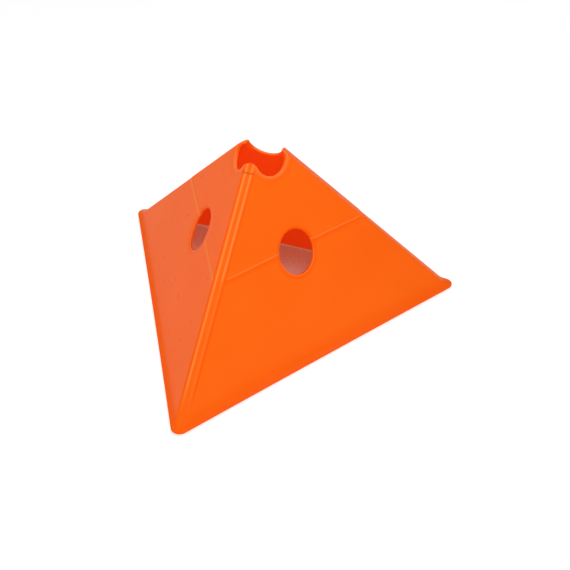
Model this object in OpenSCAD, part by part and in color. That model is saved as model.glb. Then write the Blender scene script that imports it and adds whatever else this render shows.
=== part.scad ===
// Three-sided hollow roof wedge: a moulded plastic pyramid shell on a thin foam pad.
// Origin: centre of the base, on the underside of the foam pad. +Z up, millimetres.
// One base corner points to -Y, so one face looks to +Y and two look forward.

/* [Base rim] */
// Length of each base side over the rounded corners
side_len = 610; // [450:10:760]
// Radius of the rim's corners, seen from above
corner_r = 14; // [12:1:18]
// Height of the upright edge of the rim
rim_t = 4; // [3:0.5:6]
// Height where the flare of the rim has run out into the face
flare_h = 15; // [12:1:24]
// Gap between the rim's edge line and the face plane, at the rim's underside
flare_w = 2.6; // [2:0.1:5]

/* [Pyramid shell] */
// Height of the point where the face planes would meet, above the rim's underside
apex_h = 362; // [300:1:420]
// Width of the flat band along each sloping edge
band_w = 17.5; // [14:0.5:22]
// Wall thickness
wall = 5; // [4:0.5:6]
// Height of the mould line above the rim's underside
mould_z = 172; // [120:1:200]
// How far the shell above the mould line stands proud of the shell below it
mould_step = 0.8; // [0.4:0.1:1.2]

/* [Openings] */
// Diameter of the round hand hole in each face
hand_d = 70; // [50:1:80]
// Height of the hand holes' axes above the rim's underside
hand_z = 163; // [120:1:190]
// Diameter of the round scallop cut square through each face at the open apex
scallop_d = 63; // [50:1:66]
// Height of the scallops' axes on the faces above the rim's underside
scallop_z = 309; // [306:1:312]
// Height of the three tips between the scallops above the rim's underside
tip_z = 306; // [300:1:308]

/* [Foam pad] */
// Thickness of the foam pad
pad_t = 10; // [9:1:20]
// How far the pad reaches below the rim
pad_drop = 6; // [2:1:8]
// Gap between the pad's upper edge and the wall
pad_gap = 0.3; // [0.2:0.1:1]
// Width and height of the adhesive bead between pad and wall
bead_w = 3; // [2:0.5:6]

/* [Hidden] */
$fn = 96;

corner_angles = [30, 150, 270];
face_angles = [90, 210, 330];
rim_side = side_len + 2 * corner_r * (sqrt(3) - 1);
face_side = rim_side - 2 * sqrt(3) * flare_w;
face_run = face_side / (2 * sqrt(3));
face_slope = atan(apex_h / face_run);
edge_slope = atan(apex_h / (2 * face_run));
wall_run = wall / sin(face_slope);
edge_run = wall / sin(edge_slope);
inner_band_w = band_w + 2 * (edge_run - 2 * wall_run) / sqrt(3);
cavity_top = apex_h * 0.88;
shell_top = apex_h * 0.9;
scallop_reach = wall * 2.5;
pad_top = pad_t - pad_drop;
flare_steps = 6;
corner_steps = 8;
cut_over = 1;

function polar(reach, angle) = [reach * cos(angle), reach * sin(angle)];

// Side of the face planes' triangle at height z, moved out by the given run
function plane_side(z, run = 0) = face_side * (1 - z / apex_h) + 2 * sqrt(3) * run;

// Points across a corner cut flat by the band
function flat_corner(side, band, angle) = [
    for (k = [0:corner_steps])
        polar(side / sqrt(3) - band * sqrt(3) / 2, angle)
            + polar(band * (k / corner_steps - 0.5), angle + 90)
];

// Points round a corner with a radius
function round_corner(side, radius, angle) = [
    for (k = [0:corner_steps])
        polar(side / sqrt(3) - 2 * radius, angle)
            + polar(radius, angle - 60 + 120 * k / corner_steps)
];

// Triangle whose corners go from round, at share 1, to flat, at share 0
function rim_section(side, share) = [
    for (angle = corner_angles)
        each share * round_corner(side, corner_r, angle) + (1 - share) * flat_corner(side, band_w, angle)
];

// Triangle with a flat band across each corner, two points a corner
function banded_triangle(side, band) = [
    for (angle = corner_angles)
        for (hand = [-1, 1])
            polar(side / sqrt(3) - band * sqrt(3) / 2, angle) + polar(hand * band / 2, angle + 90)
];

function at_height(ring, z) = [for (p = ring) [p.x, p.y, z]];

// Share of the flare still left at height z, from 1 at the rim to 0 at its top
function flare_left(z) = pow((flare_h - z) / (flare_h - rim_t), 2);

// Closed solid through a stack of rings that all have the same number of points
module loft(rings) {
    n = len(rings[0]);
    last = len(rings) - 1;
    points = [for (ring = rings) for (p = ring) p];
    floor_face = [for (i = [0:n - 1]) i];
    roof_face = [for (i = [n - 1:-1:0]) last * n + i];
    sides = [
        for (k = [0:last - 1])
            for (i = [0:n - 1])
                let (j = (i + 1) % n)
                    [k * n + i, (k + 1) * n + i, (k + 1) * n + j, k * n + j]
    ];
    polyhedron(points = points, faces = concat([floor_face, roof_face], sides));
}

// Slice of the banded pyramid between two heights, moved out by the given run
module pyramid_slice(z0, z1, run, band) {
    loft([
        at_height(banded_triangle(plane_side(z0, run), band), z0),
        at_height(banded_triangle(plane_side(z1, run), band), z1)
    ]);
}

// Solid outer form: upright rim, flare, lower shell, and the prouder shell above the mould line
module outer_form() {
    edge_gap = flare_w + face_run * rim_t / apex_h;
    rise = (flare_h - rim_t) / flare_steps;
    loft(concat(
        [at_height(rim_section(rim_side, 1), 0)],
        [
            for (k = [0:flare_steps])
                let (z = rim_t + k * rise, left = flare_left(z))
                    at_height(rim_section(plane_side(z, edge_gap * left), left), z)
        ],
        [
            at_height(rim_section(plane_side(mould_z), 0), mould_z),
            at_height(rim_section(plane_side(mould_z + mould_step, mould_step), 0), mould_z + mould_step),
            at_height(rim_section(plane_side(shell_top, mould_step), 0), shell_top)
        ]
    ));
}

// Round hole through each face, its axis level and square to the base side
module hand_holes() {
    for (angle = face_angles)
        rotate([0, 0, angle])
            translate([face_run * 0.2, 0, hand_z])
                rotate([0, 90, 0])
                    cylinder(d = hand_d, h = face_run);
}

// Level cut that leaves the three tips, and the scallop square through each face
module mouth() {
    translate([0, 0, tip_z])
        cylinder(r = face_run, h = apex_h);
    for (angle = face_angles)
        rotate([0, 0, angle])
            translate([plane_side(scallop_z) / (2 * sqrt(3)), 0, scallop_z])
                rotate([0, face_slope, 0])
                    translate([0, 0, -scallop_reach])
                        cylinder(d = scallop_d, h = 2 * scallop_reach);
}

module shell() {
    color("orangered")
    translate([0, 0, pad_drop])
    difference() {
        outer_form();
        pyramid_slice(-cut_over, cavity_top, -wall_run, inner_band_w);
        hand_holes();
        mouth();
    }
}

module foam_pad() {
    color("gray")
    linear_extrude(height = pad_t)
        polygon(banded_triangle(plane_side(pad_top, -wall_run - pad_gap), inner_band_w));
}

// Fillet of adhesive in the corner between the pad's top and the wall
module adhesive_bead() {
    color("bisque")
    translate([0, 0, pad_drop])
    difference() {
        pyramid_slice(pad_top, pad_top + bead_w, -wall_run, inner_band_w);
        loft([
            at_height(banded_triangle(plane_side(pad_top, -wall_run - bead_w), inner_band_w), pad_top - 0.01),
            at_height(
                banded_triangle(plane_side(pad_top + bead_w, -wall_run - 0.4), inner_band_w),
                pad_top + bead_w + 0.01
            )
        ]);
    }
}

shell();
foam_pad();
adhesive_bead();
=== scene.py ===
import math

import bmesh
import bpy
import numpy as np
from mathutils import Matrix, Vector
from mathutils.geometry import delaunay_2d_cdt


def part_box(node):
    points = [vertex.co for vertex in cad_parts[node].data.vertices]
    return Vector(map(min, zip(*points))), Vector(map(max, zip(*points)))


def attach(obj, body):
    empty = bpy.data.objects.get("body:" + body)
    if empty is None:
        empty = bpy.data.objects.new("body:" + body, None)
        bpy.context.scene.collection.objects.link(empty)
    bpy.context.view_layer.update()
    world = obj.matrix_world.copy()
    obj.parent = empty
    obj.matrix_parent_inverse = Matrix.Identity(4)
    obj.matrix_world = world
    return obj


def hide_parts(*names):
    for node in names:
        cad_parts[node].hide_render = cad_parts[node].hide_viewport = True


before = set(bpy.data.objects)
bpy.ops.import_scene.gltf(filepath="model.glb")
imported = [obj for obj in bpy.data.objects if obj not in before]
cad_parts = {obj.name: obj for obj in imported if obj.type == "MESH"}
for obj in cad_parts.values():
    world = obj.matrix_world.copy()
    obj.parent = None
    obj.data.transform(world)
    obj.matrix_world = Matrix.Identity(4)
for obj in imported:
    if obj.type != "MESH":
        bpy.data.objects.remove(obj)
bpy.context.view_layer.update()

MM = 0.001
ROOT3 = math.sqrt(3.0)

# ---------------------------------------------------------------- sizes

shell_low, shell_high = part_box("shell")
pad_low, pad_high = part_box("foam_pad")
bead_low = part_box("adhesive_bead")[0]

RIM_UNDERSIDE = shell_low.z                  # the shell's own heights are measured from here
SIDE = shell_high.x - shell_low.x            # base side over the rounded corners

CORNER_R = 14 * MM                           # rim corner, seen from above
RIM_T = 4 * MM                               # upright edge of the rim
FLARE_H = 15 * MM                            # height where the flare has run out
FLARE_W = 2.6 * MM                           # gap between the rim's edge line and the face plane
APEX_H = 362 * MM                            # where the face planes would meet
BAND_W = 17.5 * MM                           # band along each sloping edge
WALL = 5 * MM
MOULD_Z = 172 * MM                           # mould line
MOULD_STEP = 0.8 * MM                        # how far the faces stand proud above it
HAND_R = 33.5 * MM                           # bore behind the hand hole's rounded edge
HAND_Z = 163 * MM
SCALLOP_R = 31 * MM                          # round cut through each face at the open apex
SCALLOP_Z = 308.9 * MM                       # height of its centre on the face
TIP_Z = shell_high.z - shell_low.z + 0.7 * MM

RIM_REACH = (SIDE + 2 * CORNER_R * (ROOT3 - 1)) / (2 * ROOT3)   # axis to the rim's side
FACE_RUN = RIM_REACH - FLARE_W                                  # axis to the face plane at height 0
LEAN = FACE_RUN / APEX_H                                        # inward run of a face per unit of height
SLOPE = math.atan2(APEX_H, FACE_RUN)
WALL_RUN = WALL / math.sin(SLOPE)
EDGE_RUN = WALL / math.sin(math.atan2(APEX_H, 2 * FACE_RUN))
INNER_BAND_W = BAND_W + 2 * (EDGE_RUN - 2 * WALL_RUN) / ROOT3

# Softening of the moulded shape
BAND_EDGE_HIGH = 3.5 * MM                    # radius of the band's edges above the mould line
BAND_EDGE_LOW = 6.5 * MM                     # the same below it
INNER_EDGE = 5 * MM
LIP_R = 2.4 * MM                             # rounding of the hand holes' edges
MOUTH_LIP = 2.0 * MM                         # rise of the mouth's rounded lip beyond the end of the faces
BOW = 0.9 * MM                               # how far the faces have sunk in at the middle
BOW_TOP = APEX_H * 0.85                      # height where the bow has run out
BOW_FADE = APEX_H * 0.2                      # height over which it does so
DISH = 0.6 * MM                              # sunken border round the openings
DISH_W = 10 * MM
MOUTH_DISH_W = 15 * MM
MOUTH_DISH_FADE = 5                          # it fades over a fifth of the half width at a face's sides
RIDGE_FADE = 12                              # and the ridge over a twelfth of it
RIDGE = 0.8 * MM                             # ridge left along the mould line
WITNESS_Z = 295 * MM                         # painted shade along the parting mark on the near band

FACE_AZIMUTHS = [math.radians(a) for a in (90, 210, 330)]


def smooth(t):
    """Smooth step from 0 to 1 as t goes from 0 to 1."""
    t = np.clip(t, 0.0, 1.0)
    return t * t * (3 - 2 * t)


# ---------------------------------------------------------------- shell sections

FLAT_SHARES = np.sin(np.linspace(-1, 1, 43) * math.radians(80)) / math.sin(math.radians(80))
ARC_STEPS = 5
BAND_STEPS = 7


def half_corner(reach, band, radius):
    """(out, along) points from the end of a flat to the middle of the band, end of the flat left out."""
    half_flat = ROOT3 * reach - band - radius / ROOT3
    bends = np.radians(60) * np.arange(1, ARC_STEPS + 1) / ARC_STEPS
    arc = np.column_stack([reach - radius + radius * np.cos(bends), half_flat + radius * np.sin(bends)])
    shares = np.arange(1, BAND_STEPS + 1)[:, None] / BAND_STEPS
    along_band = np.array([-math.sin(math.radians(60)), math.cos(math.radians(60))])
    band_half = arc[-1] + shares * (band / 2 - radius / ROOT3) * along_band
    return half_flat, np.vstack([arc, band_half])


def section(reach, band, radius, shares=FLAT_SHARES):
    """(out, along) points of one sector's outline, from the middle of one band to the middle of the next."""
    half_flat, corner = half_corner(reach, band, radius)
    flat = np.column_stack([np.full(len(shares), reach), shares * half_flat])
    mirrored = corner[::-1] * [1, -1]
    return np.vstack([mirrored, flat, corner])


COLUMNS = len(FLAT_SHARES) + 2 * (ARC_STEPS + BAND_STEPS)
FIRST_FLAT = ARC_STEPS + BAND_STEPS
LAST_FLAT = FIRST_FLAT + len(FLAT_SHARES) - 1


def ledge(z):
    """How far the shell stands proud at height z because of the mould line."""
    return MOULD_STEP * smooth((z - MOULD_Z + 0.3 * MM) / (0.6 * MM))


def ridge(z):
    """Height of the ridge that the mould's parting left along the mould line."""
    rise = smooth((z - MOULD_Z + 0.3 * MM) / (0.7 * MM))
    return RIDGE * rise * (1 - smooth((z - MOULD_Z - 0.5 * MM) / (1.6 * MM)))


def corner_shape(z):
    """Width of the band and radius of its edges at height z, from the rim's round corner up."""
    settled = float(smooth((z - RIM_T) / (FLARE_H - RIM_T)))
    band = BAND_W * settled + CORNER_R * 2 / ROOT3 * (1 - settled)
    return band, BAND_EDGE_LOW * settled + CORNER_R * (1 - settled)


def outer_shape(z):
    """Reach of the faces, width of the band and radius of its edges at height z, above the flare."""
    upper = float(smooth((z - MOULD_Z + 1 * MM) / (3 * MM)))
    reach = FACE_RUN - LEAN * z + float(ledge(z))
    band, low = corner_shape(z)
    # above the mould line the faces stand proud and the bands do not, so the bands are wider there
    band += 2 * float(ledge(z)) * 2 / ROOT3
    return reach, band, low * (1 - upper) + BAND_EDGE_HIGH * upper


def inner_shape(z):
    return FACE_RUN - LEAN * z - WALL_RUN, INNER_BAND_W, INNER_EDGE


def hand_distance(along, z):
    return np.hypot(along, z - HAND_Z)


def bow(share, z):
    """How far a face has sunk in at a share of its half width, at height z."""
    return BOW * (1 - share ** 2) * smooth((BOW_TOP - z) / BOW_FADE)


def sunk(along, z, half_flat):
    """How far a face lies behind its plane: its bow and the dishes round the openings, less the ridge."""
    share = np.clip(np.abs(along) / half_flat, 0, 1)
    hand = DISH * smooth((HAND_R + LIP_R + DISH_W - hand_distance(along, z)) / DISH_W)
    mouth_gap = np.hypot(along, (z - SCALLOP_Z) / math.sin(SLOPE)) - SCALLOP_R
    mouth = DISH * smooth(1.15 - mouth_gap / MOUTH_DISH_W) * smooth((1 - share) * MOUTH_DISH_FADE)
    return bow(share, z) + hand + mouth - ridge(z) * smooth((1 - share) * RIDGE_FADE)


def outer_flat(along, z):
    """Reach of the outer face surface at a point of its flat part."""
    reach, band, radius = outer_shape(z)
    half_flat = ROOT3 * reach - band - radius / ROOT3
    return reach - float(sunk(along, z, half_flat))


def inner_flat(along, z):
    """Reach of the inner face surface at a point of its flat part."""
    reach, band, radius = inner_shape(z)
    share = min(abs(along) / (ROOT3 * reach - band - radius / ROOT3), 1.0)
    return reach - float(bow(share, z))


def ring_row(z, shape, surface):
    """One row of a sector's grid as (out, along, z) points."""
    reach, band, radius = shape(z)
    row = section(reach, band, radius)
    for j in range(FIRST_FLAT, LAST_FLAT + 1):
        row[j, 0] = surface(row[j, 1], z)
    return np.column_stack([row, np.full(COLUMNS, z)])


# ---------------------------------------------------------------- rows of the grids

def fillet(corner, toward_a, toward_b, radius, steps):
    """Arc that rounds a corner between two directions that leave it, from the a side to the b side."""
    a = np.asarray(toward_a, float) / np.linalg.norm(toward_a)
    b = np.asarray(toward_b, float) / np.linalg.norm(toward_b)
    half = math.acos(max(-1.0, min(1.0, float(a @ b)))) / 2
    centre = np.asarray(corner, float) + (a + b) / np.linalg.norm(a + b) * radius / math.sin(half)
    start = np.asarray(corner) + a * radius / math.tan(half) - centre
    end = np.asarray(corner) + b * radius / math.tan(half) - centre
    turn = math.pi - 2 * half
    shares = np.linspace(0, 1, steps + 1)[:, None]
    return centre + (np.sin((1 - shares) * turn) * start + np.sin(shares * turn) * end) / math.sin(turn)


def rim_profile():
    """(reach, z) points up the outside of the rim, from its underside to the top of the flare."""
    gap = FLARE_W + LEAN * RIM_T
    heights = np.linspace(RIM_T, FLARE_H, 10)
    left = ((FLARE_H - heights) / (FLARE_H - RIM_T)) ** 2
    cove = np.column_stack([FACE_RUN - LEAN * heights + gap * left, heights])
    foot = fillet((RIM_REACH, 0), (-1, 0), (0, 1), 1.0 * MM, 4)
    lip = fillet((RIM_REACH, RIM_T), (0, -1), cove[1] - cove[0], 1.5 * MM, 5)
    beyond = cove[:, 1] > lip[-1, 1] + 0.4 * MM
    return np.vstack([foot, lip, cove[beyond]])


def foot_row(reach, z, band, radius):
    """One row near the rim, where the faces have their full bow."""
    row = section(reach, band, radius)
    share = row[FIRST_FLAT:LAST_FLAT + 1, 1] / row[LAST_FLAT, 1]
    row[FIRST_FLAT:LAST_FLAT + 1, 0] -= BOW * (1 - share ** 2)
    return np.column_stack([row, np.full(COLUMNS, z)])


def rim_rows():
    return [foot_row(reach, z, *corner_shape(z)) for reach, z in rim_profile()[:-1]]


def inner_foot_rows():
    profile = fillet((FACE_RUN - WALL_RUN, 0), (1, 0), (-LEAN, 1), 1.0 * MM, 3)
    return [foot_row(reach, z, INNER_BAND_W, INNER_EDGE) for reach, z in profile]


STRAIGHT_TOP = 216 * MM                      # the level rows end here and the ones that meet the mouth begin
LEDGE_OFFSETS = (-7.5, -5.7, -4.0, -2.3, -0.9, -0.35, -0.15, 0.0, 0.15, 0.35, 0.65, 1.1, 1.7, 2.5)
LEDGE_ROWS = [MOULD_Z + d * MM for d in LEDGE_OFFSETS]


def straight_heights():
    lower = np.linspace(FLARE_H, MOULD_Z - 10 * MM, 20)
    upper = np.linspace(MOULD_Z + 4 * MM, STRAIGHT_TOP, 6)
    return np.concatenate([lower, LEDGE_ROWS, upper])


def column_point(j, z, shape, surface):
    """Point of the grid's column j at height z."""
    reach, band, radius = shape(z)
    out, along = section(reach, band, radius)[j]
    if FIRST_FLAT <= j <= LAST_FLAT:
        out = surface(along, z)
    return np.array([out, along, z])


def mouth_heights():
    """Height at which each column of the outer surface ends, below the lip of the mouth."""
    tip_end = TIP_Z - MOUTH_LIP * math.sin(math.atan2(APEX_H, 2 * FACE_RUN))
    ends = []
    for j in range(COLUMNS):
        low, high = STRAIGHT_TOP, SCALLOP_Z
        for _ in range(30):
            mid = (low + high) / 2
            along = column_point(j, mid, outer_shape, outer_flat)[1]
            inside = math.hypot(along, (mid - SCALLOP_Z) / math.sin(SLOPE)) < SCALLOP_R + MOUTH_LIP
            low, high = (low, mid) if inside else (mid, high)
        # the scallop runs into the level top of the tip in a small curve
        softness = 1.2 * MM
        both = np.array([low, tip_end])
        ends.append(both.min() - softness * math.log(np.exp(-(both - both.min()) / softness).sum()))
    return np.array(ends)


def top_rows(heights):
    """Rows from the straight part up to the mouth, which each column reaches at its own height."""
    tall = heights.max() - STRAIGHT_TOP
    marks = [(WITNESS_Z - STRAIGHT_TOP + d * MM) / tall for d in (-1.4, -0.7, 0, 0.7, 1.4)]
    shares = sorted(list(np.linspace(0, 1, 15)[1:]) + marks)
    rows = []
    for share in shares:
        row = np.array([
            column_point(j, STRAIGHT_TOP + share * (heights[j] - STRAIGHT_TOP), outer_shape, outer_flat)
            for j in range(COLUMNS)
        ])
        rows.append(row)
    return rows


# ---------------------------------------------------------------- mesh of one sector

class Sector:
    """Vertices as (out, along, z) and faces of one third of the shell."""

    def __init__(self):
        self.points = []
        self.faces = []
        self.inside = set()      # numbers of the faces on the cavity's side

    def add(self, points):
        first = len(self.points)
        self.points.extend(np.asarray(points, float))
        return list(range(first, first + len(points)))

    def strip(self, lower, upper, flip=False):
        """Quads between two rows of vertex numbers."""
        for k in range(len(lower) - 1):
            quad = (lower[k], lower[k + 1], upper[k + 1], upper[k])
            self.faces.append(quad[::-1] if flip else quad)

    def loop(self, lower, upper, flip=False):
        self.strip(lower + lower[:1], upper + upper[:1], flip)


def hole_edge_reach(theta, side):
    """Where the rounding of a hand hole's edge meets the face, seen along the hole, at each angle.

    side is 1 at the outer end of the hole and -1 at its inner end."""
    lean = -LEAN * math.sin(theta)
    corner = math.acos(-lean * side / math.hypot(1, lean))
    return HAND_R + LIP_R / math.tan(corner / 2) / math.hypot(1, lean)


def hole_thetas():
    """Angles round the hand hole, with extra ones where the mould line's rows end at it."""
    thetas = list(np.radians(np.arange(0, 360, 3.75)))
    for z in LEDGE_ROWS[1:-1]:
        low, high = 0.0, math.pi / 2
        for _ in range(40):
            mid = (low + high) / 2
            if HAND_Z + hole_edge_reach(mid, 1) * math.sin(mid) < z:
                low = mid
            else:
                high = mid
        thetas = [t for t in thetas if min(abs(t - low), abs(t - math.pi + low)) > math.radians(0.6)]
        thetas += [low, math.pi - low]
    return sorted(thetas)


SLIVER = 2e-3                                # faces under half this area, in square millimetres, are left out
PATCH_RINGS = (1.6, 3.4, 5.6, 8.2, 11.0)     # extra points round a hole, in millimetres beyond its edge
WIDE_RING = 6                                # rings from here on take fewer points


def window_patch(sector, grid, heights, surface, side, thetas, flip):
    """Fills the face round a hand hole between the grid and the rounded edge of the hole."""
    ring_uz = [
        (hole_edge_reach(t, side) * math.cos(t), HAND_Z + hole_edge_reach(t, side) * math.sin(t))
        for t in thetas
    ]
    ring = sector.add([(surface(u, z), u, z) for u, z in ring_uz])
    keep_out = HAND_R + DISH_W + 6 * MM
    rows = [i for i, z in enumerate(heights) if abs(z - HAND_Z) < keep_out]
    i0, i1 = rows[0] - 1, rows[-1] + 1
    cols = [j for j in range(FIRST_FLAT, LAST_FLAT + 1)
            if min(abs(sector.points[grid[i][j]][1]) for i in (i0, i1)) < keep_out]
    j0, j1 = cols[0] - 1, cols[-1] + 1

    numbers, coords, edges = [], [], []
    index_of = {}

    def point(number, u, z):
        index_of[number] = len(coords)
        numbers.append(number)
        coords.append(Vector((u * 1000, z * 1000)))
        return len(coords) - 1

    for i in range(i0, i1 + 1):
        for j in range(j0, j1 + 1):
            number = grid[i][j]
            _, u, z = sector.points[number]
            border = i in (i0, i1) or j in (j0, j1)
            theta = math.atan2(z - HAND_Z, u)
            if border or hand_distance(u, z) > hole_edge_reach(theta, side) + 1.5 * MM:
                point(number, u, z)
    for number, (u, z) in zip(ring, ring_uz):
        point(number, u, z)
    for k in range(len(ring)):
        edges.append((index_of[ring[k]], index_of[ring[(k + 1) % len(ring)]]))
    for i in range(i0, i1 + 1):
        z = heights[i]
        inner_row = side > 0 and LEDGE_ROWS[0] < z < LEDGE_ROWS[-1]
        if i in (i0, i1):
            chain = [index_of[grid[i][j]] for j in range(j0, j1 + 1)]
            edges += list(zip(chain, chain[1:]))
        elif inner_row:
            for hand in (-1, 1):
                outside = sorted(
                    (index_of[grid[i][j]] for j in range(j0, j1 + 1)
                     if grid[i][j] in index_of and sector.points[grid[i][j]][1] * hand > 0),
                    key=lambda n: coords[n].x * hand)
                # the ring's point at this height, on this side of the hole
                near = min(range(len(ring)), key=lambda k: math.hypot(
                    ring_uz[k][1] - z, 1 * MM * (ring_uz[k][0] * hand < 0)))
                chain = [index_of[ring[near]]] + outside
                edges += list(zip(chain, chain[1:]))
    for j in (j0, j1):
        chain = [index_of[grid[i][j]] for i in range(i0, i1 + 1)]
        edges += list(zip(chain, chain[1:]))
    for extra in PATCH_RINGS:
        count = 72 if extra < WIDE_RING else 54
        for k in range(count):
            t = 2 * math.pi * (k + 0.5) / count
            s = hole_edge_reach(t, side) + extra * MM
            u, z = s * math.cos(t), HAND_Z + s * math.sin(t)
            if side > 0 and LEDGE_ROWS[0] - 0.7 * MM < z < LEDGE_ROWS[-1] + 0.7 * MM:
                continue
            numbers.append(None)
            coords.append(Vector((u * 1000, z * 1000)))

    out_coords, _, faces, origins, _, _ = delaunay_2d_cdt(coords, edges, [], 0, 1e-4)
    final = []
    for co, origin in zip(out_coords, origins):
        known = [numbers[n] for n in origin if numbers[n] is not None]
        if known:
            final.append(known[0])
        else:
            u, z = co.x / 1000, co.y / 1000
            final.append(sector.add([(surface(u, z), u, z)])[0])
    border_u = [[sector.points[grid[i][j]][1] for i in range(i0, i1 + 1)] for j in (j0, j1)]
    border_z = [heights[i] for i in range(i0, i1 + 1)]
    for face in faces:
        centre = sum((out_coords[n] for n in face), Vector((0, 0))) / len(face) / 1000
        t = math.atan2(centre.y - HAND_Z, centre.x)
        inside_ring = hand_distance(centre.x, centre.y) < hole_edge_reach(t, side) - 0.05 * MM
        left = np.interp(centre.y, border_z, border_u[0])
        right = np.interp(centre.y, border_z, border_u[1])
        inside_ring = inside_ring or all(final[n] in ring for n in face)
        if inside_ring or centre.x < left - 0.01 * MM or centre.x > right + 0.01 * MM:
            continue
        a, b, c = (out_coords[n] for n in face[:3])
        turning = (b - a).x * (c - a).y - (b - a).y * (c - a).x
        if abs(turning) < SLIVER:
            continue
        ordered = [final[n] for n in face]
        if turning < 0:
            ordered.reverse()
        sector.faces.append(tuple(reversed(ordered)) if flip else tuple(ordered))
    return ring, (i0, i1, j0, j1)


def hand_hole_wall(sector, thetas, outer_ring, inner_ring):
    """Rounded lip and bore of a hand hole, between its rings on the outer and inner faces."""
    columns = []
    for t, near, far in zip(thetas, outer_ring, inner_ring):
        lean = -LEAN * math.sin(t)
        out_reach, in_reach = hole_edge_reach(t, 1), hole_edge_reach(t, -1)
        top = sector.points[near][0] - lean * (out_reach - HAND_R)
        bottom = sector.points[far][0] - lean * (in_reach - HAND_R)
        lip = fillet((HAND_R, top), (1, lean), (0, -1), LIP_R, 6)[1:]
        back = fillet((HAND_R, bottom), (0, 1), (1, lean), LIP_R, 5)[:-1]
        columns.append([
            (out, s * math.cos(t), HAND_Z + s * math.sin(t)) for s, out in np.vstack([lip, back])
        ])
    rings = [outer_ring]
    for k in range(len(columns[0])):
        rings.append(sector.add([column[k] for column in columns]))
    rings.append(inner_ring)
    for before, after in zip(rings, rings[1:]):
        sector.loop(after, before)


LIP_POWER = 0.75                             # below 1, the mouth's lip is squarer than a half circle


def lip_rows(sector, outer_top, inner_top, steps=10):
    """Rounded lip of the mouth between the last rows of the outer and inner surfaces."""
    outer = np.array([sector.points[n] for n in outer_top])
    inner = np.array([sector.points[n] for n in inner_top])
    centre, half = (outer + inner) / 2, (outer - inner) / 2
    along = np.gradient(centre, axis=0)
    # the end columns lie on the sector's mirror planes, so the lip runs square to those there
    for j, azimuth in ((0, -60), (-1, 60)):
        a = math.radians(azimuth)
        along[j] = (-math.sin(a), math.cos(a), 0)
    up = np.cross(along, half)
    up /= np.linalg.norm(up, axis=1)[:, None]
    up *= np.sign(up[:, 2])[:, None]
    previous = outer_top
    for k in range(1, steps):
        bend = math.pi * k / steps
        across = math.copysign(abs(math.cos(bend)) ** LIP_POWER, math.cos(bend))
        row = sector.add(centre + half * across + up * MOUTH_LIP * math.sin(bend) ** LIP_POWER)
        sector.strip(previous, row)
        previous = row
    sector.strip(previous, inner_top)


def cover(sector, stack, first, window, flip=False):
    """Quads between a grid's rows, except in the window, whose row numbers count from the first row given."""
    i0, i1, j0, j1 = window
    for i in range(len(stack) - 1):
        if first + i0 <= i < first + i1:
            sector.strip(stack[i][:j0 + 1], stack[i + 1][:j0 + 1], flip)
            sector.strip(stack[i][j1:], stack[i + 1][j1:], flip)
        else:
            sector.strip(stack[i], stack[i + 1], flip)


def build_sector():
    sector = Sector()
    heights = straight_heights()
    outer_ends = mouth_heights()
    inner_heights = np.linspace(FLARE_H, STRAIGHT_TOP, 24)

    rim = [sector.add(row) for row in rim_rows()]
    straight = [sector.add(ring_row(z, outer_shape, outer_flat)) for z in heights]
    top = [sector.add(row) for row in top_rows(outer_ends)]
    thetas = hole_thetas()
    outer_ring, window = window_patch(sector, straight, heights, outer_flat, 1, thetas, False)
    cover(sector, rim + straight + top, len(rim), window)

    outside_faces = len(sector.faces)
    inner_foot = [sector.add(row) for row in inner_foot_rows()]
    inner_straight = [sector.add(ring_row(z, inner_shape, inner_flat)) for z in inner_heights]
    inner_ends = outer_ends - WALL * math.cos(SLOPE)
    inner_top = [
        sector.add([
            column_point(j, STRAIGHT_TOP + share * (inner_ends[j] - STRAIGHT_TOP), inner_shape, inner_flat)
            for j in range(COLUMNS)
        ])
        for share in np.linspace(0, 1, 11)[1:]
    ]
    inner_ring, window = window_patch(sector, inner_straight, inner_heights, inner_flat, -1, thetas, True)
    cover(sector, inner_foot + inner_straight + inner_top, len(inner_foot), window, True)
    sector.inside = set(range(outside_faces, len(sector.faces)))
    sector.strip(inner_foot[0], rim[0])
    hand_hole_wall(sector, thetas, outer_ring, inner_ring)
    lip_rows(sector, top[-1], inner_top[-1])
    return sector


def mesh_object(name, points, faces, second_material=None, masks=None, merge=0.0):
    mesh = bpy.data.meshes.new(name)
    mesh.from_pydata([tuple(p) for p in points], [], faces)
    for mask, values in (masks or {}).items():
        attribute = mesh.attributes.new(mask, "FLOAT", "POINT")
        attribute.data.foreach_set("value", np.array(values, np.float32))
    if second_material:
        mesh.polygons.foreach_set("material_index", np.array(second_material, int))
    obj = bpy.data.objects.new(name, mesh)
    bpy.context.scene.collection.objects.link(obj)
    if merge:
        bm = bmesh.new()
        bm.from_mesh(mesh)
        bmesh.ops.remove_doubles(bm, verts=bm.verts, dist=merge)
        loose = [v for v in bm.verts if not v.link_faces]
        bmesh.ops.delete(bm, geom=loose, context="VERTS")
        bmesh.ops.recalc_face_normals(bm, faces=bm.faces)
        bm.to_mesh(mesh)
        bm.free()
    for polygon in mesh.polygons:
        polygon.use_smooth = True
    return obj


def bell(x, centre, width):
    """1 at the centre, falling smoothly to 0 at the given distance from it."""
    return smooth(1 - np.abs(x - centre) / width)


# Painted highlights and painted shade on each face, in the order of FACE_AZIMUTHS. The back face, which the
# camera does not see, repeats the front one without its painted highlight line. Per side, negative then
# positive:
# strength of the painted highlight line beside the band's middle. Then the line's place, its half width, its
# strength below the mould line, and the painted shadow and the painted highlight in the band just under the
# mould line.
FACE_PAINTED_LIGHT = [
    {"edges": (0.0, 0.0), "line": 5.2 * MM, "width": 3.0 * MM, "low": 0.3, "ridge_shadow": 0.7, "ledge_highlight": 0.0},
    {"edges": (0.0, 1.0), "line": 4.6 * MM, "width": 3.2 * MM, "low": 0.9, "ridge_shadow": 0.0, "ledge_highlight": 0.5},
    {"edges": (1.0, 0.0), "line": 5.2 * MM, "width": 3.0 * MM, "low": 0.3, "ridge_shadow": 0.7, "ledge_highlight": 0.0},
]


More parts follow.
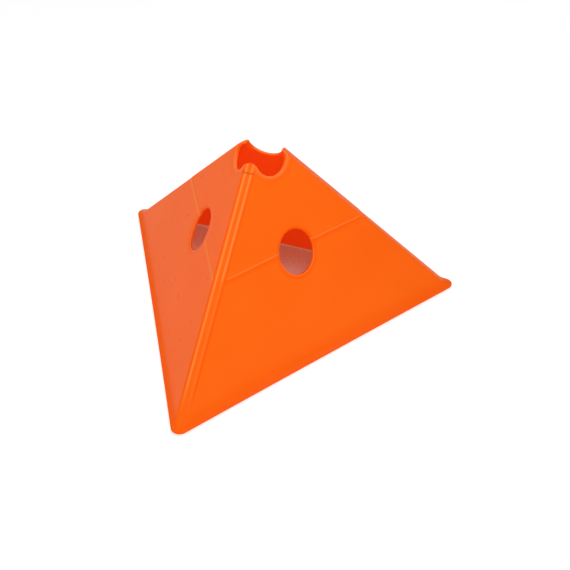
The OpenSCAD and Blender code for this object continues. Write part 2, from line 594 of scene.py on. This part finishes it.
DOT_R = 2.6 * MM             # painted highlight dot where the painted highlight line crosses the mould line
UNDER_RIDGE = 4 * MM         # how far the band of painted shadow and painted highlight under the mould line lies below it
UNDER_RIDGE_W = 3.6 * MM     # its half width
HAND_SHADE = 8.5 * MM         # reach of the painted shade beyond the hand hole, and the width it fades over
HAND_SHADE_FADE = 5.5 * MM
MOUTH_SHADE = 15 * MM         # the same for the mouth
MOUTH_SHADE_FADE = 12 * MM
LINE_SHADE = 4 * MM           # the line of painted shade beside the painted highlight line, and its half width
LINE_SHADE_W = 2.6 * MM
LIP_LINE = 1.2 * MM          # how far outside the openings their painted highlight lips lie, and the lips' half widths
MOUTH_LIP_W = 2.0 * MM
HAND_LIP_W = 1.6 * MM
MARK_SHADE_W = 1.2 * MM            # half width of the painted shade at the parting mark, and its reach from the band's middle
MARK_SHADE_REACH = 9.5 * MM


def painted_light_masks(local, light_paint):
    """Per point: painted shade where the plastic looks deeper, painted highlight where it looks paler, and
    painted shade at the parting mark.
    """
    painted_shade, painted_highlight, painted_mark_shade = np.zeros((3, len(local)))
    for i, (out, along, z) in enumerate(local):
        reach, band, radius = outer_shape(z)
        if out < reach - WALL_RUN / 2 - max(0.0, band / 2) * (z > FLARE_H) and z < TIP_Z - MOUTH_LIP:
            continue
        hand = math.hypot(along, z - HAND_Z)
        mouth = math.hypot(along, (z - SCALLOP_Z) / math.sin(SLOPE))
        half_flat = half_corner(reach, band, radius)[0]
        across = out * math.sin(math.radians(60)) - abs(along) * math.cos(math.radians(60))
        edge = light_paint["edges"][int(along > 0)] * smooth((z - FLARE_H) / (3 * FLARE_H))
        strength = light_paint["low"] + (1 - light_paint["low"]) * smooth((z - MOULD_Z + 2 * MM) / (4 * MM))
        line = strength * bell(across, light_paint["line"], light_paint["width"])
        dot = bell(math.hypot(across - light_paint["line"], z - MOULD_Z), 0, DOT_R)
        on_flat = smooth((half_flat + radius / 2 - abs(along)) / radius)
        near_ridge = ridge(z) / RIDGE * on_flat
        below_line = bell(z, MOULD_Z - UNDER_RIDGE, UNDER_RIDGE_W) * on_flat
        # painted shade: rings round the hand hole and the mouth, a dark line beside the painted highlight
        # line, the painted shadow under the mould line's ridge, and a deeper colour towards the foot of the
        # rim
        # each line below starts with the mark's strength, and the strongest mark wins
        painted_shade[i] = max(
            1.0 * smooth((HAND_R + HAND_SHADE - hand) / HAND_SHADE_FADE),
            0.7 * smooth((SCALLOP_R + MOUTH_SHADE - mouth) / MOUTH_SHADE_FADE),
            0.95 * bell(across, light_paint["line"] + LINE_SHADE, LINE_SHADE_W) * edge,
            0.6 * smooth((2 * FLARE_H - z) / (2 * FLARE_H)),
            light_paint["ridge_shadow"] * below_line,
        )
        # a thin line of painted shade at the parting mark, on the near band only
        painted_mark_shade[i] = bell(z, WITNESS_Z, MARK_SHADE_W) * smooth((MARK_SHADE_REACH - across) / MM) * edge
        # painted highlights: the line beside the band's middle, its dot on the mould line, the ridge, the
        # band under the mould line on the left face, and the lips of the mouth and of the hand hole's lower
        # half
        lower_half = smooth((HAND_Z + HAND_R / 2 - z) / HAND_R)
        painted_highlight[i] = max(
            0.85 * line * edge,
            1.0 * dot * edge,
            0.6 * near_ridge,
            light_paint["ledge_highlight"] * below_line,
            0.65 * bell(mouth, SCALLOP_R + LIP_LINE, MOUTH_LIP_W),
            0.45 * bell(hand, HAND_R + LIP_LINE, HAND_LIP_W) * lower_half,
        )
    return painted_shade, painted_highlight, painted_mark_shade


def turned(points, azimuth):
    """(out, along, z) points in the frame's axes, with out along the given azimuth."""
    c, s = math.cos(azimuth), math.sin(azimuth)
    x, y = points[:, 0] * c - points[:, 1] * s, points[:, 0] * s + points[:, 1] * c
    return np.column_stack([x, y, points[:, 2]])


def build_shell():
    sector = build_sector()
    local = np.array(sector.points)
    points, faces = [], []
    for azimuth in FACE_AZIMUTHS:
        first = len(points)
        points.extend(turned(local, azimuth) + [0, 0, RIM_UNDERSIDE])
        faces.extend(tuple(n + first for n in face) for face in sector.faces)
    inside = [n in sector.inside for n in range(len(sector.faces))] * 3
    painted_masks = [painted_light_masks(local, light_paint) for light_paint in FACE_PAINTED_LIGHT]
    masks = {name: np.concatenate([w[i] for w in painted_masks]) for i, name in enumerate(("painted_shade", "painted_highlight", "painted_mark_shade"))}
    shell = mesh_object("shell_moulding", points, faces, inside, masks, merge=0.01 * MM)
    weighted = shell.modifiers.new("even_normals", "WEIGHTED_NORMAL")
    weighted.keep_sharp = False
    weighted.weight = 50
    return shell


# ---------------------------------------------------------------- foam pad and adhesive

PAD_SHARES = np.linspace(-1, 1, 81)
PAD_REACH = pad_high.y
PAD_T = pad_high.z - pad_low.z
BEAD_W = 3.0 * MM
BEAD_GAP = 0.15 * MM                         # between the bead and the wall


def turn_sectors(row):
    """The three sectors of a row of (out, along, z) points as one closed ring in the frame's axes."""
    return np.vstack([turned(row, azimuth)[:-1] for azimuth in FACE_AZIMUTHS])


def ripple(x, y, seed):
    """Smooth unevenness between about -1 and 1, made of a few waves."""
    total = 0
    for k in range(4):
        turn = seed * 1.7 + k * 2.3
        wave = (38 + 31 * k) * (x * math.cos(turn) + y * math.sin(turn))
        total = total + np.sin(wave + seed * 3.1 + k * 1.3) / (1 + 0.5 * k)
    return total / 2.6


def closed_surface(name, rings, close_ends):
    """Mesh through a stack of closed rings with equal numbers of points."""
    n = len(rings[0])
    faces = []
    count = len(rings)
    last = count - 1 if close_ends else count
    for k in range(last):
        upper = (k + 1) % count
        for i in range(n):
            j = (i + 1) % n
            faces.append((k * n + i, k * n + j, upper * n + j, upper * n + i))
    if close_ends:
        faces.append(tuple(reversed(range(n))))
        faces.append(tuple(range((count - 1) * n, count * n)))
    return mesh_object(name, np.vstack(rings), faces, merge=0.001 * MM)


def pad_ring(inset, z, uneven=0.0):
    row = section(PAD_REACH - inset, INNER_BAND_W * 0.9, 3 * MM, PAD_SHARES)
    ring = turn_sectors(np.column_stack([row, np.full(len(row), z)]))
    ring[:, 2] += uneven * ripple(ring[:, 0], ring[:, 1], 2)
    return ring


def build_foam_pad():
    """Cut foam sheet: square sides with slightly broken edges, and a gently uneven upper face."""
    edge = 1.2 * MM
    rings = []
    for inset in (0.75, 0.5, 0.25, 0.1, 0.03):
        rings.append(pad_ring(PAD_REACH * inset, 0))
    for bend in np.radians([270, 300, 330, 360]):
        rings.append(pad_ring(edge * (1 - math.cos(bend)), edge * (1 + math.sin(bend))))
    rings.append(pad_ring(-0.15 * MM, PAD_T * 0.3))
    rings.append(pad_ring(-0.1 * MM, PAD_T * 0.6))
    top = PAD_T - 0.5 * MM
    for bend in np.radians([0, 30, 60, 90]):
        rings.append(pad_ring(edge * (1 - math.cos(bend)), top - edge * (1 - math.sin(bend))))
    for inset in (0.015, 0.03, 0.05, 0.08, 0.12, 0.17, 0.23, 0.3, 0.38, 0.47, 0.57, 0.68, 0.8):
        rings.append(pad_ring(PAD_REACH * inset, top, 0.4 * MM * smooth(inset * 12)))
    return closed_surface("foam_slab", rings, True)


def bead_ring(size_share, rise_share, base_z):
    """One ring of the bead: shares of its own uneven width, away from the wall and up it."""
    wall_reach = FACE_RUN - LEAN * (base_z - RIM_UNDERSIDE) - WALL_RUN
    row = section(wall_reach, INNER_BAND_W, INNER_EDGE, PAD_SHARES)
    plain = turn_sectors(np.column_stack([row, np.zeros(len(row))]))
    width = BEAD_W * (1 + 0.22 * ripple(plain[:, 0] * 1.4, plain[:, 1] * 1.4, 5))
    n = len(row) - 1
    ring = []
    for k, azimuth in enumerate(FACE_AZIMUTHS):
        part = width[k * n:(k + 1) * n]
        local = np.zeros((n, 3))
        for i in range(n):
            rise = rise_share * part[i]
            reach = wall_reach - LEAN * rise - size_share * part[i] - BEAD_GAP
            out, along = section(reach, INNER_BAND_W, INNER_EDGE, PAD_SHARES)[i]
            local[i] = (out, along, base_z + rise)
        ring.append(turned(local, azimuth))
    return np.vstack(ring)


def build_bead():
    base_z = bead_low.z + 0.02 * MM
    # shares of the bead's width: the flat foot, the hollow slope up to the wall, and the wall's side
    profile = [
        (0.0, 0.0), (1.0, 0.0), (0.72, 0.1), (0.45, 0.27), (0.27, 0.45), (0.1, 0.72), (0.0, 1.0), (0.0, 0.5),
    ]
    rings = [bead_ring(size, rise, base_z) for size, rise in profile]
    return closed_surface("adhesive_fillet", rings, False)


# ---------------------------------------------------------------- materials

def node_material(name):
    material = bpy.data.materials.new(name)
    material.use_nodes = True
    tree = material.node_tree
    tree.nodes.clear()
    output = tree.nodes.new("ShaderNodeOutputMaterial")
    shader = tree.nodes.new("ShaderNodeBsdfPrincipled")
    tree.links.new(shader.outputs["BSDF"], output.inputs["Surface"])
    place = tree.nodes.new("ShaderNodeTexCoord").outputs["Object"]
    return material, tree, shader, place


def noise(tree, place, scale, detail=2.0, roughness=0.5):
    node = tree.nodes.new("ShaderNodeTexNoise")
    node.inputs["Scale"].default_value = scale
    node.inputs["Detail"].default_value = detail
    node.inputs["Roughness"].default_value = roughness
    tree.links.new(place, node.inputs["Vector"])
    return node.outputs["Fac"]


def spread(tree, value, low, high, from_low=0.3, from_high=0.7):
    node = tree.nodes.new("ShaderNodeMapRange")
    node.inputs["From Min"].default_value = from_low
    node.inputs["From Max"].default_value = from_high
    node.inputs["To Min"].default_value = low
    node.inputs["To Max"].default_value = high
    tree.links.new(value, node.inputs["Value"])
    return node.outputs["Result"]


def colours(tree, value, first, second, low=0.3, high=0.7):
    node = tree.nodes.new("ShaderNodeValToRGB")
    node.color_ramp.elements[0].position = low
    node.color_ramp.elements[0].color = (*first, 1)
    node.color_ramp.elements[1].position = high
    node.color_ramp.elements[1].color = (*second, 1)
    tree.links.new(value, node.inputs["Fac"])
    return node.outputs["Color"]


def bump(tree, height, distance, strength=1.0, after=None):
    node = tree.nodes.new("ShaderNodeBump")
    node.inputs["Strength"].default_value = strength
    node.inputs["Distance"].default_value = distance
    tree.links.new(height, node.inputs["Height"])
    if after is not None:
        tree.links.new(after, node.inputs["Normal"])
    return node.outputs["Normal"]


def masked(tree, colour, mask, other):
    """The colour, turned to the other one where the mesh's mask says so."""
    where = tree.nodes.new("ShaderNodeAttribute")
    where.attribute_name = mask
    blend = tree.nodes.new("ShaderNodeMix")
    blend.data_type = "RGBA"
    tree.links.new(where.outputs["Fac"], blend.inputs["Factor"])
    tree.links.new(colour, blend.inputs["A"])
    blend.inputs["B"].default_value = (*other, 1)
    return blend.outputs["Result"]


def orange_plastic(name="orange_moulding", shade=1.0):
    """Satin moulded plastic: slight colour drift, painted shade and painted highlights, long waves and a fine
    peel.
    """
    material, tree, shader, place = node_material(name)
    drift = colours(tree, noise(tree, place, 7.0, 3.0), (0.935 * shade, 0.122 * shade, 0.0045),
                    (0.965 * shade, 0.134 * shade, 0.0062))
    # painted shade, painted highlights and the painted shade at the parting mark, laid over the plastic's own
    # colour drift
    colour = masked(tree, drift, "painted_shade", (0.93, 0.096, 0.001))
    colour = masked(tree, colour, "painted_highlight", (0.96, 0.255, 0.05))
    colour = masked(tree, colour, "painted_mark_shade", (0.55, 0.065, 0.004))
    tree.links.new(colour, shader.inputs["Base Color"])
    tree.links.new(spread(tree, noise(tree, place, 45.0, 4.0), 0.27, 0.34), shader.inputs["Roughness"])
    shader.inputs["Specular IOR Level"].default_value = 0.025
    waves = bump(tree, noise(tree, place, 7.0, 0.0), 0.4 * MM, 0.5)
    peel = bump(tree, noise(tree, place, 220.0, 1.0), 0.012 * MM, 0.5, waves)
    grain = bump(tree, noise(tree, place, 1500.0, 1.0), 0.008 * MM, 0.5, peel)
    tree.links.new(grain, shader.inputs["Normal"])
    return material


def orange_inside_painted_light():
    """The cavity's side of the same plastic, darker by its shade factor as painted shade, with a low painted
    glow for the light that soaks through the wall.
    """
    material = orange_plastic("orange_moulding_inside_painted_light", 0.84)
    shader = next(n for n in material.node_tree.nodes if n.type == "BSDF_PRINCIPLED")
    # painted glow standing in for the light that soaks through the wall
    shader.inputs["Emission Color"].default_value = (1.0, 0.065, 0.004, 1)
    shader.inputs["Emission Strength"].default_value = 0.265
    return material


def grey_foam():
    """Open-cell foam: cells of about 1.5 mm with darker openings, and a faint painted glow for the light in
    the cavity.
    """
    material, tree, shader, place = node_material("open_cell_foam")
    cells = tree.nodes.new("ShaderNodeTexVoronoi")
    cells.inputs["Scale"].default_value = 650.0
    tree.links.new(place, cells.inputs["Vector"])
    grey = colours(tree, cells.outputs["Distance"], (0.42, 0.42, 0.41), (0.72, 0.72, 0.70), 0.05, 0.6)
    tree.links.new(grey, shader.inputs["Base Color"])
    lumps = bump(tree, noise(tree, place, 60.0, 3.0), 0.6 * MM, 0.5)
    tree.links.new(bump(tree, cells.outputs["Distance"], 0.6 * MM, 0.7, lumps), shader.inputs["Normal"])
    shader.inputs["Roughness"].default_value = 0.95
    shader.inputs["Specular IOR Level"].default_value = 0.1
    # painted glow standing in for the light that falls on the foam inside the cavity
    shader.inputs["Emission Color"].default_value = (1.0, 1.0, 0.6, 1)
    shader.inputs["Emission Strength"].default_value = 0.055
    return material


def dried_adhesive():
    material, tree, shader, place = node_material("dried_adhesive")
    mottling = colours(tree, noise(tree, place, 90.0, 3.0), (0.62, 0.55, 0.42), (0.85, 0.80, 0.68))
    tree.links.new(mottling, shader.inputs["Base Color"])
    tree.links.new(bump(tree, noise(tree, place, 220.0, 2.0), 0.4 * MM, 0.6), shader.inputs["Normal"])
    shader.inputs["Roughness"].default_value = 0.4
    # painted glow that brightens the bead where it sits in shade at the foot of the wall
    shader.inputs["Emission Color"].default_value = (1.0, 0.7, 0.5, 1)
    shader.inputs["Emission Strength"].default_value = 0.12
    return material


def pale_floor():
    material, tree, shader, place = node_material("pale_floor")
    tree.links.new(colours(tree, noise(tree, place, 3.0, 2.0), (0.54, 0.54, 0.54), (0.56, 0.56, 0.56)),
                   shader.inputs["Base Color"])
    shader.inputs["Roughness"].default_value = 0.9
    shader.inputs["Specular IOR Level"].default_value = 0.0
    shader.inputs["Emission Color"].default_value = (1, 1, 1, 1)
    shader.inputs["Emission Strength"].default_value = 0.62
    return material


def clothe(piece, *materials):
    """Gives a piece its materials without disturbing which face takes which."""
    while len(piece.data.materials):
        piece.data.materials.pop()
    for material in materials:
        piece.data.materials.append(material)


# ---------------------------------------------------------------- camera

def build_camera():
    """Camera fitted to the outlines of the photographed wedge."""
    azimuth, elevation, roll = 0.326107238, 0.660955290, 0.0328148308
    distance, shift_right, shift_up = 2.17649, 0.04800, 0.02882
    back = Vector((
        math.sin(azimuth) * math.cos(elevation),
        -math.cos(azimuth) * math.cos(elevation),
        math.sin(elevation),
    ))
    level = Vector((math.cos(azimuth), math.sin(azimuth), 0))
    upright = back.cross(level)
    right = math.cos(roll) * level + math.sin(roll) * upright
    up = -math.sin(roll) * level + math.cos(roll) * upright
    data = bpy.data.cameras.new("camera")
    data.sensor_width = 36
    data.lens = 79.03
    data.clip_end = 20
    camera = bpy.data.objects.new("camera", data)
    place = right * shift_right + up * shift_up + back * distance + Vector((0, 0, RIM_UNDERSIDE))
    turn = Matrix((right, up, back)).transposed().to_4x4()
    camera.matrix_world = Matrix.Translation(place) @ turn
    bpy.context.scene.collection.objects.link(camera)
    bpy.context.scene.camera = camera


# ---------------------------------------------------------------- light and floor

def build_floor():
    half = 5.0
    mesh = bpy.data.meshes.new("floor")
    corners = [(-half, -half, 0), (half, -half, 0), (half, half, 0), (-half, half, 0)]
    mesh.from_pydata(corners, [], [(0, 1, 2, 3)])
    floor = bpy.data.objects.new("floor", mesh)
    floor.location.z = -0.2 * MM
    bpy.context.scene.collection.objects.link(floor)
    clothe(floor, pale_floor())


def build_world():
    """Soft studio dome: bright overhead, dim towards the horizon."""
    world = bpy.data.worlds.new("studio")
    world.use_nodes = True
    tree = world.node_tree
    tree.nodes.clear()
    output = tree.nodes.new("ShaderNodeOutputWorld")
    background = tree.nodes.new("ShaderNodeBackground")
    coordinate = tree.nodes.new("ShaderNodeTexCoord")
    split = tree.nodes.new("ShaderNodeSeparateXYZ")
    tree.links.new(coordinate.outputs["Generated"], split.inputs["Vector"])
    shade = colours(tree, split.outputs["Z"], (0.62, 0.62, 0.62), (1.0, 1.0, 1.0), 0.2, 0.7)
    tree.links.new(shade, background.inputs["Color"])
    background.inputs["Strength"].default_value = 0.625
    tree.links.new(background.outputs["Background"], output.inputs["Surface"])
    bpy.context.scene.world = world


def softbox(name, azimuth, elevation, distance, width, height, power):
    """Area light that faces the object from the given direction; azimuth 0 is -Y and 90 is +X."""
    a, e = math.radians(azimuth), math.radians(elevation)
    target = Vector((0, 0, 0.12))
    back = Vector((math.sin(a) * math.cos(e), -math.cos(a) * math.cos(e), math.sin(e)))
    data = bpy.data.lights.new(name, "AREA")
    data.shape = "RECTANGLE"
    data.size, data.size_y = width, height
    data.energy = power
    light = bpy.data.objects.new(name, data)
    light.location = target + back * distance
    light.rotation_euler = back.to_track_quat("Z", "Y").to_euler()
    bpy.context.scene.collection.objects.link(light)


def build_light():
    build_world()
    softbox("key", 28, 52, 1.3, 0.30, 0.26, 5.0)
    softbox("left", -62, 37, 1.3, 0.26, 0.26, 2.4)
    softbox("right", 98, 38, 2.4, 0.5, 0.4, 8)
    bpy.context.scene.view_settings.view_transform = "Standard"


# ---------------------------------------------------------------- build

build_camera()
shell = build_shell()
clothe(shell, orange_plastic(), orange_inside_painted_light())
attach(shell, "root")
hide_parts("shell")

pad = build_foam_pad()
clothe(pad, grey_foam())
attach(pad, "root")
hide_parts("foam_pad")

bead = build_bead()
clothe(bead, dried_adhesive())
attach(bead, "root")
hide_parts("adhesive_bead")

build_floor()
build_light()
